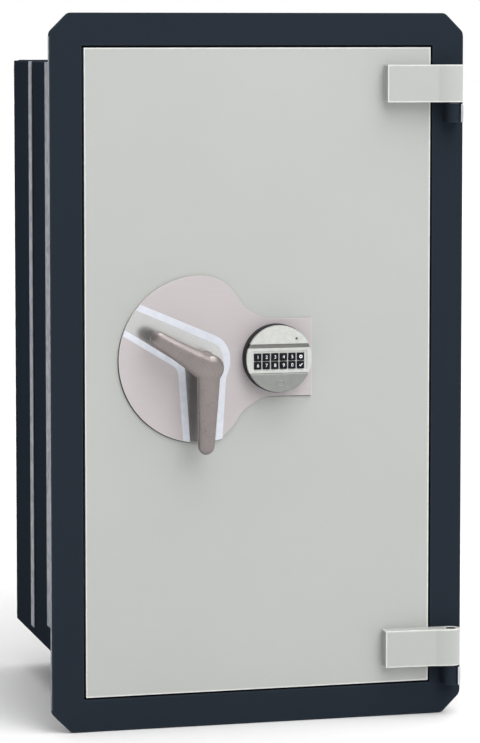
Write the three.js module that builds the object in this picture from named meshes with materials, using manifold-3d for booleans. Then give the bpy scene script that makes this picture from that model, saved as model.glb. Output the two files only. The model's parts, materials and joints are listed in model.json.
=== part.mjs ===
// Wall safe: a steel case that is walled in behind a front flange, with a flush hinged door, a two-armed
// handle that throws rack-driven bolts, and an electronic keypad.
// Millimetres. While the pieces are made, x runs to the right from the middle of the safe, y runs into the
// wall from the front face of the flange, and z runs up from the flange's bottom edge. The group at the end
// moves them so that the origin is the centre of the rear panel's outer face.
import * as THREE from "three";
import { mergeVertices } from "three/addons/utils/BufferGeometryUtils.js";
import Module from "manifold-3d";

const wasm = await Module();
wasm.setup();

// Overall size
const WIDTH = 476;
const HEIGHT = 800;
const DEPTH = 400;
const HALF = WIDTH / 2;
const CLEAR = 0.3; // gap between fixed pieces that touch
const RUNNING = 0.35; // radial gap around pins, shafts and bolts
const ROUND = 24; // sides of a turned piece

// Front frame. Insets are measured inwards from the flange's outer edge.
const FLANGE_THICK = 8;
const FLANGE_CHAMFER = 21.5;
const FLANGE_CORNER = 9; // radius of each of the flange's outer corners
const OPENING_INSET = 36.2;
const JAMB_INSET = 34;
const LIP_Y = 14;
const LIP_THICK = 4;
const LIP_INSET_SIDE = 64;
const LIP_INSET_END = 82;
const SEAL_INSET = 45;
const SEAL_WIDTH = 12;
const SEAL_FRONT = 10.6;

// Case behind the frame
const WALL = 5;
const CASE_INSET_SIDE = JAMB_INSET;
const CASE_INSET_END = 56;
const CASE_FRONT = LIP_Y + LIP_THICK + CLEAR;
const CASE_X = HALF - CASE_INSET_SIDE;
const RIB_THICK = 1.5;
// Each rib's two edges in depth, and how far it stops short of the case's bottom edge.
const RIBS = { front: [172, 195, 29], rear: [277, 296, 11] };
const SHELF_Z = 402;
const SHELF_THICK = 3;
const SHELF_FRONT = 100;
const SHELF_FOLD = 20;
const RAIL = { leg: 20, thick: 2, front: 110, back: 380 };

// Door
const DOOR_GAP = 2.4;
const DOOR_THICK = 10;
const DOOR_X = HALF - OPENING_INSET - DOOR_GAP;
const DOOR_LOW = OPENING_INSET + DOOR_GAP;
const DOOR_HIGH = HEIGHT - DOOR_LOW;
const CASING_INSET_SIDE = 72;
const CASING_INSET_END = 90;
const CASING_WALL = 3;
const CASING_FRONT = DOOR_THICK + CLEAR;
const CASING_BACK = 56;
const CASING_X = HALF - CASING_INSET_SIDE;
const COVER_THICK = 2;

// Hinges
const PIVOT = { x: 223, y: -11.5 };
const KNUCKLE_RADIUS = 10.5;
const PIN_RADIUS = 6;
const PIN_RECESS = 8;
const ARM_HEIGHT = 42;
const ARM_CENTRE = 79; // from the flange's top or bottom edge
const ARM_LEFT = 145;
const ARM_THICK_LEFT = 15;
const ARM_SWELL = { x: 203, thick: 18.5 };
const LUG_HALF_WIDTH = 8.5;
const LUG_HEIGHT = 21.5;
const WASHER_RADIUS = 7.6;
const WASHER_THICK = 1;

// Handle and escutcheon
const HANDLE = { x: -68.5, z: 415 };
const SPINDLE_RADIUS = 6;
const SPINDLE = [-24, 46];
const BUSH_RADIUS = 10;
const BUSH_FLANGE_RADIUS = 14;
const NECK_RADIUS = 12;
const HUB_RADIUS = 15.5;
const HANDLE_FRONT = -48;
const ARM_BACK = -29;
const HANDLE_ARMS = [
  { angle: -90, length: 101, hubHalf: 12.6, tipHalf: 9 },
  { angle: 150.5, length: 75, hubHalf: 14, tipHalf: 10.3 },
];
const ESCUTCHEON = {
  radius: 93.5,
  shoulder: 46,
  hollow: 52,
  halfTongue: 43.5,
  right: 60,
  thick: 3,
};

// Keypad, about its own centre
const KEYPAD = { x: 17.5, z: 415 };
const KEYPAD_BASE_RADIUS = 38.4;
const KEYPAD_FACE_RADIUS = 37.6;
const KEYPAD_BASE_FRONT = -16;
const KEYPAD_FACE_FRONT = -22;
const BEZEL_FRONT = -20.5;
const BEZEL = { low: -16, high: 12.2 };
const BAND_TOP = 17;
const BAND_FRONT = -19.5;
const BEZEL_RECESS = { halfWidth: 32.2, low: -12.8, high: 9, deep: 1 };
const KEY_SIZE = 8;
const KEY_WINDOW = 8.5;
const KEY_PITCH = { x: 9.9, z: 9.3 };
const KEY_ROW_CENTRE = -2.5;
const KEY_FRONT = -21.3;
const KEY_BACK = -17.6;
const LAMP = { x: 19.6, z: 22.6, radius: 1.1 };
const BATTERY = { radius: 5.2, halfLength: 22.2, y: -10.5, z: -23 };

// Bolt work. The drive pinion turns with the handle; one rack under it and one on each side of it.
const MODULE = 2;
const TEETH = 14;
const PITCH_RADIUS = (MODULE * TEETH) / 2;
const TOOTH_PITCH = Math.PI * MODULE;
const PRESSURE_ANGLE = Math.PI / 9;
const PINION_ADDENDUM = 2;
const PINION_DEDENDUM = 2.2;
const RACK_ADDENDUM = 1.5;
const RACK_DEDENDUM = 2.4;
const TOOTH_SLACK = 0.3;
const RACK_BODY = 10;
const MESH_REACH = 8; // rack length kept in mesh past the point of contact
const THROW = PITCH_RADIUS * (Math.PI / 2);
const SIDE_LAYER = [25, 33];
const END_LAYER = [35, 43];
const BOLT_RADIUS = 10;
const BOLT_Y = 30;
const BOLT_TIP_CHAMFER = 2;
const TIP_SETBACK = 0.5; // a withdrawn bolt's tip, inside the casing's outer face
const SIDE_BOLTS = { lower: 210, middle: 400, upper: 590 };
const SIDE_BAR = { x0: -119.7, x1: -100, z0: 180, z1: 620 };
const END_BOLT_LENGTH = 60;
const END_NOTCH = 38; // how far an end bolt reaches past its rod's end
const DEAD_BOLT = { radius: 7, y: 37, reach: 14, inside: 16 };
const DEAD_BOLTS = { lower: 230, upper: 570 };
const LOCK = { x0: -28.5, x1: 35.5, y0: 18, y1: 51, z0: 305, z1: 395 };
const LOCK_BOLT = { z: 350, half: 6, retracted: -35.5, length: 25, entry: 7 };
const BOTTOM_ROD_WIDTH = 16;
const TOP_BOLT_X = HANDLE.x - PITCH_RADIUS - RACK_DEDENDUM - RACK_BODY / 2;
const BOTTOM_BOLT_X = HANDLE.x + PITCH_RADIUS + RACK_DEDENDUM + BOTTOM_ROD_WIDTH / 2;

// ---- solids ----

function solidOf(geometry) {
  const bare = geometry.index ? geometry.toNonIndexed() : geometry.clone();
  bare.deleteAttribute("normal");
  bare.deleteAttribute("uv");
  const merged = mergeVertices(bare, 1e-4);
  const mesh = new wasm.Mesh({
    numProp: 3,
    vertProperties: merged.attributes.position.array,
    triVerts: new Uint32Array(merged.index.array),
  });
  return new wasm.Manifold(mesh);
}

function geometryOf(solid) {
  const mesh = solid.getMesh();
  const indexed = new THREE.BufferGeometry();
  indexed.setAttribute("position", new THREE.BufferAttribute(mesh.vertProperties, 3));
  indexed.setIndex(new THREE.BufferAttribute(mesh.triVerts, 1));
  const geometry = indexed.toNonIndexed();
  geometry.computeVertexNormals();
  return geometry;
}

function join(...pieces) {
  return geometryOf(pieces.map(solidOf).reduce((sum, piece) => sum.add(piece)));
}

function cut(base, ...tools) {
  return geometryOf(tools.reduce((rest, tool) => rest.subtract(solidOf(tool)), solidOf(base)));
}

function common(a, b) {
  return geometryOf(solidOf(a).intersect(solidOf(b)));
}

function block(x0, x1, y0, y1, z0, z1) {
  const geometry = new THREE.BoxGeometry(x1 - x0, y1 - y0, z1 - z0);
  return geometry.translate((x0 + x1) / 2, (y0 + y1) / 2, (z0 + z1) / 2);
}

// A shape drawn in x and z, filled from y0 to y1.
function sheet(shape, y0, y1, curveSegments = ROUND / 2) {
  const settings = { depth: y1 - y0, bevelEnabled: false, curveSegments };
  const geometry = new THREE.ExtrudeGeometry(shape, settings);
  return geometry.rotateX(Math.PI / 2).translate(0, y1, 0);
}

// A shape drawn in x and y, filled from z0 to z1.
function column(shape, z0, z1) {
  const settings = { depth: z1 - z0, bevelEnabled: false, curveSegments: ROUND / 2 };
  return new THREE.ExtrudeGeometry(shape, settings).translate(0, 0, z0);
}

function rodX(radius, x0, x1, y, z) {
  const geometry = new THREE.CylinderGeometry(radius, radius, x1 - x0, ROUND);
  return geometry.rotateZ(Math.PI / 2).translate((x0 + x1) / 2, y, z);
}

function rodY(radius, y0, y1, x, z, sides = ROUND) {
  const geometry = new THREE.CylinderGeometry(radius, radius, y1 - y0, sides);
  return geometry.translate(x, (y0 + y1) / 2, z);
}

function rodZ(radius, z0, z1, x, y) {
  const geometry = new THREE.CylinderGeometry(radius, radius, z1 - z0, ROUND);
  return geometry.rotateX(Math.PI / 2).translate(x, y, (z0 + z1) / 2);
}

// A bolt that stands on its inner end and points up the y axis, with a chamfered tip.
function uprightBolt(radius, length) {
  const profile = [
    [0, 0],
    [radius, 0],
    [radius, length - BOLT_TIP_CHAMFER],
    [radius - BOLT_TIP_CHAMFER, length],
    [0, length],
  ];
  return new THREE.LatheGeometry(profile.map(([r, y]) => new THREE.Vector2(r, y)), ROUND);
}

// ---- outlines ----

function outline(points) {
  return new THREE.Shape(points.map(([u, v]) => new THREE.Vector2(u, v)));
}

// The rectangle that lies `side` in from the flange's left and right and `end` in from its top and bottom.
function insetRectangle(side, end) {
  const x = HALF - side;
  return [
    [-x, end],
    [x, end],
    [x, HEIGHT - end],
    [-x, HEIGHT - end],
  ];
}

function ringShape(outer, inner) {
  const shape = outline(outer);
  shape.holes.push(new THREE.Path(inner.map(([u, v]) => new THREE.Vector2(u, v)).reverse()));
  return shape;
}

// The outline with each corner replaced by a few points on an arc that touches both its sides.
function roundedCorners(points, radius, steps = 4) {
  return points.flatMap((point, i) => {
    const corner = new THREE.Vector2(...point);
    const before = new THREE.Vector2(...points.at(i - 1)).sub(corner).normalize();
    const after = new THREE.Vector2(...points[(i + 1) % points.length]).sub(corner).normalize();
    const half = Math.acos(before.dot(after)) / 2;
    const reach = radius / Math.tan(half);
    const curve = new THREE.QuadraticBezierCurve(
      corner.clone().addScaledVector(before, reach),
      corner,
      corner.clone().addScaledVector(after, reach),
    );
    return curve.getPoints(steps).map(({ x, y }) => [x, y]);
  });
}

function flangeOutline() {
  const c = FLANGE_CHAMFER;
  const corners = [
    [-HALF + c, 0],
    [HALF - c, 0],
    [HALF, c],
    [HALF, HEIGHT - c],
    [HALF - c, HEIGHT],
    [-HALF + c, HEIGHT],
    [-HALF, HEIGHT - c],
    [-HALF, c],
  ];
  return roundedCorners(corners, FLANGE_CORNER);
}

// A round-ended bar that narrows from the hub to its tip, seen from the front.
function taperedBar({ angle, length, hubHalf, tipHalf }) {
  const reach = length - tipHalf;
  const turn = THREE.MathUtils.degToRad(angle);
  const lean = Math.asin((hubHalf - tipHalf) / reach);
  const from = turn - Math.PI / 2 + lean;
  const to = turn + Math.PI / 2 - lean;
  const shape = new THREE.Shape();
  const tipX = HANDLE.x + reach * Math.cos(turn);
  const tipZ = HANDLE.z + reach * Math.sin(turn);
  shape.absarc(tipX, tipZ, tipHalf, from, to, false);
  shape.absarc(HANDLE.x, HANDLE.z, hubHalf, to, from + 2 * Math.PI, false);
  shape.closePath();
  return shape;
}

// A disc around the handle with a tongue to the right that carries the keypad. On each side of the tongue
// a shoulder arc leaves the disc and a hollow arc, centred over the keypad, runs into the tongue's edge.
function escutcheonShape() {
  const { radius, shoulder, hollow, halfTongue, right } = ESCUTCHEON;
  const hollowX = KEYPAD.x - HANDLE.x;
  const hollowZ = halfTongue + hollow;
  const far = Math.hypot(hollowX, hollowZ);
  const near = radius - shoulder;
  const cosine = (far * far + near * near - (shoulder + hollow) ** 2) / (2 * far * near);
  const bearing = Math.atan2(hollowZ, hollowX) + Math.acos(cosine);
  const shoulderX = near * Math.cos(bearing);
  const shoulderZ = near * Math.sin(bearing);
  const meet = Math.atan2(hollowZ - shoulderZ, hollowX - shoulderX);
  const { x, z } = HANDLE;
  const shape = new THREE.Shape();
  shape.moveTo(right, z + halfTongue);
  shape.lineTo(x + hollowX, z + halfTongue);
  shape.absarc(x + hollowX, z + hollowZ, hollow, -Math.PI / 2, meet - Math.PI, true);
  shape.absarc(x + shoulderX, z + shoulderZ, shoulder, meet, bearing, false);
  shape.absarc(x, z, radius, bearing, 2 * Math.PI - bearing, false);
  shape.absarc(x + shoulderX, z - shoulderZ, shoulder, -bearing, -meet, false);
  shape.absarc(x + hollowX, z - hollowZ, hollow, Math.PI - meet, Math.PI / 2, true);
  shape.lineTo(right, z - halfTongue);
  shape.closePath();
  return shape;
}

// The pinion's outline, with one tooth pointing straight down.
function pinionShape() {
  const base = PITCH_RADIUS * Math.cos(PRESSURE_ANGLE);
  const involute = (angle) => Math.tan(angle) - angle;
  const halfAtPitch = (TOOTH_PITCH / 4 - TOOTH_SLACK / 2) / PITCH_RADIUS;
  const halfAngle = (radius) => {
    const angle = radius > base ? Math.acos(base / radius) : 0;
    return halfAtPitch + involute(PRESSURE_ANGLE) - involute(angle);
  };
  const outer = PITCH_RADIUS + PINION_ADDENDUM;
  const radii = [PITCH_RADIUS - PINION_DEDENDUM, base];
  const steps = 3;
  for (let step = 1; step <= steps; step++) {
    radii.push(base + ((outer - base) * step) / steps);
  }
  const points = [];
  for (let tooth = 0; tooth < TEETH; tooth++) {
    const centre = -Math.PI / 2 + (tooth * 2 * Math.PI) / TEETH;
    const rise = radii.map((radius) => [radius, centre - halfAngle(radius)]);
    const fall = radii.map((radius) => [radius, centre + halfAngle(radius)]).reverse();
    points.push(...rise, ...fall);
  }
  const place = ([radius, a]) => [HANDLE.x + radius * Math.cos(a), HANDLE.z + radius * Math.sin(a)];
  const shape = outline(points.map(place));
  const bore = new THREE.Path();
  bore.absarc(HANDLE.x, HANDLE.z, SPINDLE_RADIUS + RUNNING, 0, 2 * Math.PI, true);
  shape.holes.push(bore);
  return shape;
}

// A rack's outline along u from u0 to u1, with its teeth towards +v and its pitch line at v = 0.
// `phase` is where one tooth's centre lies, and `body` is how deep the bar is under the teeth.
function rackOutline(u0, u1, phase, body) {
  const halfAt = (v) => TOOTH_PITCH / 4 - TOOTH_SLACK / 2 - v * Math.tan(PRESSURE_ANGLE);
  const root = halfAt(-RACK_DEDENDUM);
  const tip = halfAt(RACK_ADDENDUM);
  const points = [[u0, -RACK_DEDENDUM - body]];
  points.push([u0, -RACK_DEDENDUM]);
  const first = Math.ceil((u0 + root - phase) / TOOTH_PITCH);
  const last = Math.floor((u1 - root - phase) / TOOTH_PITCH);
  for (let tooth = first; tooth <= last; tooth++) {
    const centre = phase + tooth * TOOTH_PITCH;
    points.push([centre - root, -RACK_DEDENDUM]);
    points.push([centre - tip, RACK_ADDENDUM]);
    points.push([centre + tip, RACK_ADDENDUM]);
    points.push([centre + root, -RACK_DEDENDUM]);
  }
  points.push([u1, -RACK_DEDENDUM]);
  points.push([u1, -RACK_DEDENDUM - body]);
  return points;
}

// ---- materials ----

function material(color, roughness, metalness) {
  return new THREE.MeshStandardMaterial({ color, roughness, metalness });
}

const safe = new THREE.Group();
const pieces = new THREE.Group();
pieces.position.set(0, -DEPTH, -HEIGHT / 2);
safe.add(pieces);

function add(name, geometry, finish) {
  const mesh = new THREE.Mesh(geometry, finish());
  mesh.name = name;
  pieces.add(mesh);
}

const darkPaint = () => material(0x293038, 0.55, 0.2);
const lightPaint = () => material(0xc4c6c3, 0.5, 0.2);
const galvanised = () => material(0x8c9097, 0.45, 0.8);
const brightSteel = () => material(0xa8abae, 0.3, 0.9);
const satinNickel = () => material(0x7e7976, 0.35, 0.85);
const plateAluminium = () => material(0xc9c4c5, 0.4, 0.6);
const silverPlastic = () => material(0xd8d8d4, 0.3, 0.5);
const greyPlastic = () => material(0x9b9d9a, 0.4, 0.4);
const blackPlastic = () => material(0x15171b, 0.5, 0);
const sealRubber = () => material(0x23211f, 0.8, 0);
const bronze = () => material(0x9a7b4a, 0.4, 0.8);

// ---- case ----

function doorFrame() {
  const opening = insetRectangle(OPENING_INSET, OPENING_INSET);
  const jamb = insetRectangle(JAMB_INSET, JAMB_INSET);
  const lipHole = insetRectangle(LIP_INSET_SIDE, LIP_INSET_END);
  return join(
    sheet(ringShape(flangeOutline(), opening), 0, FLANGE_THICK),
    sheet(ringShape(jamb, opening), FLANGE_THICK / 2, LIP_Y + LIP_THICK / 2),
    sheet(ringShape(jamb, lipHole), LIP_Y, LIP_Y + LIP_THICK),
  );
}

function addCase() {
  const low = CASE_INSET_END;
  const high = HEIGHT - CASE_INSET_END;
  const back = DEPTH - WALL;
  const innerX = CASE_X - WALL;
  add("door_frame", doorFrame(), darkPaint);
  add("left_wall", block(-CASE_X, -innerX, CASE_FRONT, back - CLEAR, low, high), darkPaint);
  add("right_wall", block(innerX, CASE_X, CASE_FRONT, back - CLEAR, low, high), darkPaint);
  const panel = (z0) => block(-innerX + CLEAR, innerX - CLEAR, CASE_FRONT, back - CLEAR, z0, z0 + WALL);
  add("roof_panel", panel(high - WALL), darkPaint);
  add("floor_panel", panel(low), darkPaint);
  add("rear_panel", block(-CASE_X, CASE_X, back, DEPTH, low, high), darkPaint);
  const sealOuter = insetRectangle(SEAL_INSET, SEAL_INSET);
  const sealInner = insetRectangle(SEAL_INSET + SEAL_WIDTH, SEAL_INSET + SEAL_WIDTH);
  const seal = sheet(ringShape(sealOuter, sealInner), SEAL_FRONT, LIP_Y - CLEAR);
  add("rebate_seal", seal, sealRubber);
}

function addAnchorRibs() {
  const inner = CASE_X + CLEAR;
  const outer = inner + RIB_THICK;
  const high = HEIGHT - CASE_INSET_END;
  for (const [place, [y0, y1, drop]] of Object.entries(RIBS)) {
    const low = CASE_INSET_END + drop;
    add("anchor_rib_left_" + place, block(-outer, -inner, y0, y1, low, high), galvanised);
    add("anchor_rib_right_" + place, block(inner, outer, y0, y1, low, high), galvanised);
  }
}

function addShelf() {
  const wallX = CASE_X - WALL;
  const tray = outline([
    [SHELF_FRONT, SHELF_Z + SHELF_THICK],
    [SHELF_FRONT, SHELF_Z + SHELF_THICK - SHELF_FOLD],
    [SHELF_FRONT + SHELF_THICK, SHELF_Z + SHELF_THICK - SHELF_FOLD],
    [SHELF_FRONT + SHELF_THICK, SHELF_Z],
    [DEPTH - WALL - SHELF_FOLD / 2, SHELF_Z],
    [DEPTH - WALL - SHELF_FOLD / 2, SHELF_Z + SHELF_THICK],
  ]);
  const halfSpan = wallX - 1.5;
  const settings = { depth: 2 * halfSpan, bevelEnabled: false };
  const shelf = new THREE.ExtrudeGeometry(tray, settings);
  // The tray's section is drawn in y and z, and its length is turned to run along x.
  shelf.rotateX(Math.PI / 2).rotateZ(Math.PI / 2).translate(-halfSpan, 0, 0);
  add("shelf", shelf, darkPaint);
  const top = SHELF_Z - CLEAR;
  for (const [place, side] of [["left", -1], ["right", 1]]) {
    const span = (a, b) => [Math.min(side * a, side * b), Math.max(side * a, side * b)];
    const [h0, h1] = span(wallX - CLEAR - RAIL.leg, wallX - CLEAR);
    const [v0, v1] = span(wallX - CLEAR - RAIL.thick, wallX - CLEAR);
    const flat = block(h0, h1, RAIL.front, RAIL.back, top - RAIL.thick, top);
    const upright = block(v0, v1, RAIL.front, RAIL.back, top - RAIL.leg, top);
    add("shelf_rail_" + place, join(flat, upright), galvanised);
  }
}

// ---- hinges ----

function hingeArmShape() {
  const { x, y } = PIVOT;
  const shape = new THREE.Shape();
  const overFlange = DOOR_X + DOOR_GAP / 2;
  shape.moveTo(ARM_LEFT, -CLEAR);
  shape.lineTo(ARM_LEFT, -ARM_THICK_LEFT);
  shape.lineTo(ARM_SWELL.x, -ARM_SWELL.thick);
  shape.quadraticCurveTo((ARM_SWELL.x + x) / 2, y - KNUCKLE_RADIUS, x, y - KNUCKLE_RADIUS);
  shape.absarc(x, y, KNUCKLE_RADIUS, -Math.PI / 2, Math.PI / 2, false);
  shape.lineTo(overFlange, y + KNUCKLE_RADIUS);
  shape.lineTo(overFlange, -CLEAR);
  shape.closePath();
  return shape;
}

function lugShape() {
  const { x, y } = PIVOT;
  const shape = new THREE.Shape();
  shape.moveTo(x + LUG_HALF_WIDTH, -CLEAR);
  shape.lineTo(x - LUG_HALF_WIDTH, -CLEAR);
  shape.lineTo(x - LUG_HALF_WIDTH, y);
  shape.absarc(x, y, LUG_HALF_WIDTH, Math.PI, 2 * Math.PI, false);
  shape.closePath();
  return shape;
}

function addHinge(place, armLow) {
  const { x, y } = PIVOT;
  const armHigh = armLow + ARM_HEIGHT;
  const washerLow = armLow - CLEAR - WASHER_THICK;
  const lugHigh = washerLow - CLEAR;
  const lugLow = lugHigh - LUG_HEIGHT;
  const hole = rodZ(PIN_RADIUS + RUNNING, lugLow - 1, armHigh + 1, x, y);
  const washer = rodZ(WASHER_RADIUS, washerLow, washerLow + WASHER_THICK, x, y);
  add("hinge_arm_" + place, cut(column(hingeArmShape(), armLow, armHigh), hole), lightPaint);
  add("hinge_lug_" + place, cut(column(lugShape(), lugLow, lugHigh), hole), darkPaint);
  add("hinge_washer_" + place, cut(washer, hole), blackPlastic);
  add("hinge_pin_" + place, rodZ(PIN_RADIUS, lugLow, armHigh - PIN_RECESS, x, y), brightSteel);
}

// ---- door ----

function addDoor() {
  const bushHole = rodY(BUSH_RADIUS + RUNNING, -5, DOOR_THICK + 1, HANDLE.x, HANDLE.z);
  const cableHole = rodY(8, -5, DOOR_THICK + 1, KEYPAD.x, KEYPAD.z + 4);
  const slab = block(-DOOR_X, DOOR_X, 0, DOOR_THICK, DOOR_LOW, DOOR_HIGH);
  add("door_plate", cut(slab, bushHole, cableHole), lightPaint);
  const front = -CLEAR - ESCUTCHEON.thick;
  const escutcheon = sheet(escutcheonShape(), front, -CLEAR, 2 * ROUND);
  add("escutcheon_plate", cut(escutcheon, bushHole, cableHole), plateAluminium);
  const bushEnd = DOOR_THICK + CLEAR;
  const profile = [
    [SPINDLE_RADIUS + RUNNING, front - 1],
    [BUSH_RADIUS, front - 1],
    [BUSH_RADIUS, bushEnd],
    [BUSH_FLANGE_RADIUS, bushEnd],
    [BUSH_FLANGE_RADIUS, bushEnd + 3],
    [SPINDLE_RADIUS + RUNNING, bushEnd + 3],
    [SPINDLE_RADIUS + RUNNING, front - 1],
  ];
  const bush = new THREE.LatheGeometry(profile.map(([r, y]) => new THREE.Vector2(r, y)), ROUND);
  add("spindle_bush", bush.translate(HANDLE.x, 0, HANDLE.z), bronze);
}

function addCasing() {
  const low = CASING_INSET_END;
  const high = HEIGHT - CASING_INSET_END;
  const outer = insetRectangle(CASING_INSET_SIDE, CASING_INSET_END);
  const inner = insetRectangle(CASING_INSET_SIDE + CASING_WALL, CASING_INSET_END + CASING_WALL);
  const ring = sheet(ringShape(outer, inner), CASING_FRONT, CASING_BACK);
  const holeRadius = BOLT_RADIUS + RUNNING + 0.1;
  const holes = Object.values(SIDE_BOLTS).map((z) =>
    rodX(holeRadius, -CASING_X - 1, -CASING_X + 9, BOLT_Y, z),
  );
  holes.push(rodZ(holeRadius, high - 9, high + 1, TOP_BOLT_X, BOLT_Y));
  holes.push(rodZ(holeRadius, low - 1, low + 9, BOTTOM_BOLT_X, BOLT_Y));
  for (const z of Object.values(DEAD_BOLTS)) {
    holes.push(rodX(DEAD_BOLT.radius + RUNNING, CASING_X - 9, CASING_X + 1, DEAD_BOLT.y, z));
  }
  add("bolt_casing", cut(ring, ...holes), lightPaint);
  const coverFront = CASING_BACK + CLEAR;
  const cover = block(-CASING_X, CASING_X, coverFront, coverFront + COVER_THICK, low, high);
  add("casing_cover", cover, lightPaint);
  for (const [place, z] of Object.entries(DEAD_BOLTS)) {
    const bolt = uprightBolt(DEAD_BOLT.radius, DEAD_BOLT.reach + DEAD_BOLT.inside);
    bolt.rotateZ(-Math.PI / 2).translate(CASING_X - DEAD_BOLT.inside, DEAD_BOLT.y, z);
    add("dead_bolt_" + place, bolt, brightSteel);
  }
}

// ---- bolt work ----

function addSideBolts() {
  const bar = block(SIDE_BAR.x0, SIDE_BAR.x1, ...SIDE_LAYER, SIDE_BAR.z0, SIDE_BAR.z1);
  const pitchZ = HANDLE.z - PITCH_RADIUS;
  const rack = rackOutline(-MESH_REACH, THROW + MESH_REACH, TOOTH_PITCH / 2, RACK_BODY);
  const rackShape = outline(rack.map(([u, v]) => [HANDLE.x + u, pitchZ + v]));
  const armTop = pitchZ - RACK_DEDENDUM;
  const arm = block(SIDE_BAR.x1 - 1, HANDLE.x, ...SIDE_LAYER, armTop - RACK_BODY, armTop);
  add("side_bolt_bar", join(bar, arm, sheet(rackShape, ...SIDE_LAYER)), galvanised);
  for (const [place, z] of Object.entries(SIDE_BOLTS)) {
    const inner = SIDE_BAR.x0 - CLEAR;
    const bolt = uprightBolt(BOLT_RADIUS, inner + CASING_X - TIP_SETBACK);
    add("side_bolt_" + place, bolt.rotateZ(Math.PI / 2).translate(inner, BOLT_Y, z), brightSteel);
  }
}

// A rod beside the pinion with an end bolt. `side` is -1 for the left rack, whose bolt points up, and
// 1 for the right rack, whose bolt points down.
function addEndBolt(name, side, width, tipZ) {
  const up = -side;
  const reach = THROW + MESH_REACH;
  const span = up > 0 ? [-reach, MESH_REACH] : [-MESH_REACH, reach];
  const rack = rackOutline(...span, 0, width);
  const pitchX = HANDLE.x + side * PITCH_RADIUS;
  const placed = rack.map(([u, v]) => [pitchX - side * v, HANDLE.z + u]);
  const rackShape = outline(up > 0 ? placed.reverse() : placed);
  const back = pitchX + side * (RACK_DEDENDUM + width);
  const front = pitchX + side * RACK_DEDENDUM;
  const rodEnd = tipZ - up * END_NOTCH;
  const z0 = Math.min(HANDLE.z, rodEnd);
  const z1 = Math.max(HANDLE.z, rodEnd);
  const rod = block(Math.min(front, back), Math.max(front, back), ...END_LAYER, z0, z1);
  let geometry = join(sheet(rackShape, ...END_LAYER), rod);
  if (side > 0) {
    // Two notches, one throw apart, let the lock bolt in with the bolts withdrawn or thrown.
    const half = LOCK_BOLT.half + 0.5;
    const notches = [LOCK_BOLT.z, LOCK_BOLT.z + THROW].map((z) =>
      block(back - LOCK_BOLT.entry, back + 1, END_LAYER[0] - 1, END_LAYER[1] + 1, z - half, z + half),
    );
    geometry = cut(geometry, ...notches);
  }
  add(name + "_rod", geometry, galvanised);
  const bolt = uprightBolt(BOLT_RADIUS, END_BOLT_LENGTH).rotateX((up * Math.PI) / 2);
  bolt.translate((front + back) / 2, BOLT_Y, tipZ - up * END_BOLT_LENGTH);
  const seatEnd = rodEnd + up * CLEAR;
  const seatStart = seatEnd - up * 2 * END_BOLT_LENGTH;
  const seat = block(
    back - 2 * END_BOLT_LENGTH,
    back + 2 * END_BOLT_LENGTH,
    END_LAYER[0] - CLEAR,
    BOLT_Y + 2 * BOLT_RADIUS,
    Math.min(seatStart, seatEnd),
    Math.max(seatStart, seatEnd),
  );
  add(name, cut(bolt, seat), brightSteel);
}

function addLock() {
  const { x0, x1, y0, y1, z0, z1 } = LOCK;
  const feet = [];
  for (const x of [x0 + 8, x1 - 8]) {
    for (const z of [z0 + 8, z1 - 8]) {
      feet.push(rodY(5, DOOR_THICK + CLEAR, y0 + 1, x, z, ROUND / 2));
    }
  }
  const { z, half, retracted, length } = LOCK_BOLT;
  const boltEnd = retracted + length;
  const slot = block(
    x0 - 1,
    boltEnd + 1,
    END_LAYER[0] - CLEAR,
    END_LAYER[1] + CLEAR,
    z - half - CLEAR,
    z + half + CLEAR,
  );
  const body = join(block(x0, x1, y0, y1, z0, z1), ...feet);
  add("lock_case", cut(body, slot), galvanised);
  add("lock_bolt", block(retracted, boltEnd, ...END_LAYER, z - half, z + half), bronze);
}

function addDrive() {
  add("drive_pinion", sheet(pinionShape(), SIDE_LAYER[0] - 0.5, END_LAYER[1] + 0.5), brightSteel);
  add("handle_spindle", rodY(SPINDLE_RADIUS, ...SPINDLE, HANDLE.x, HANDLE.z), brightSteel);
}

// ---- handle ----

function addHandle() {
  const back = -CLEAR - ESCUTCHEON.thick - 1.5;
  const neck = rodY(NECK_RADIUS, ARM_BACK - 2, back, HANDLE.x, HANDLE.z);
  const hub = rodY(HUB_RADIUS, HANDLE_FRONT - 1, ARM_BACK + 1, HANDLE.x, HANDLE.z);
  const arms = HANDLE_ARMS.map((arm) => sheet(taperedBar(arm), HANDLE_FRONT, ARM_BACK));
  const socket = rodY(SPINDLE_RADIUS + RUNNING, SPINDLE[0] - CLEAR, 0, HANDLE.x, HANDLE.z);
  add("handle", cut(join(neck, hub, ...arms), socket), satinNickel);
}

// ---- keypad ----

// The part of the keypad's round face that lies between two heights.
function faceSlice(low, high, y0, y1) {
  const disc = rodY(KEYPAD_FACE_RADIUS, y0, y1, KEYPAD.x, KEYPAD.z, 2 * ROUND);
  const wide = KEYPAD_BASE_RADIUS + 1;
  const slab = block(KEYPAD.x - wide, KEYPAD.x + wide, y0 - 1, y1 + 1, KEYPAD.z + low, KEYPAD.z + high);
  return common(disc, slab);
}

// A square block about a point on the keypad, seen from the front.
function squareAt(x, z, half, y0, y1) {
  const centreX = KEYPAD.x + x;
  const centreZ = KEYPAD.z + z;
  return block(centreX - half, centreX + half, y0, y1, centreZ - half, centreZ + half);
}

const KEY_ROWS = [
  ["1", "2", "3", "4", "5", "enter"],
  ["6", "7", "8", "9", "0", "clear"],
];

function keyCentres() {
  return KEY_ROWS.flatMap((names, row) =>
    names.map((name, place) => ({
      name,
      x: (place - (names.length - 1) / 2) * KEY_PITCH.x,
      z: KEY_ROW_CENTRE + (0.5 - row) * KEY_PITCH.z,
    })),
  );
}

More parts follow.
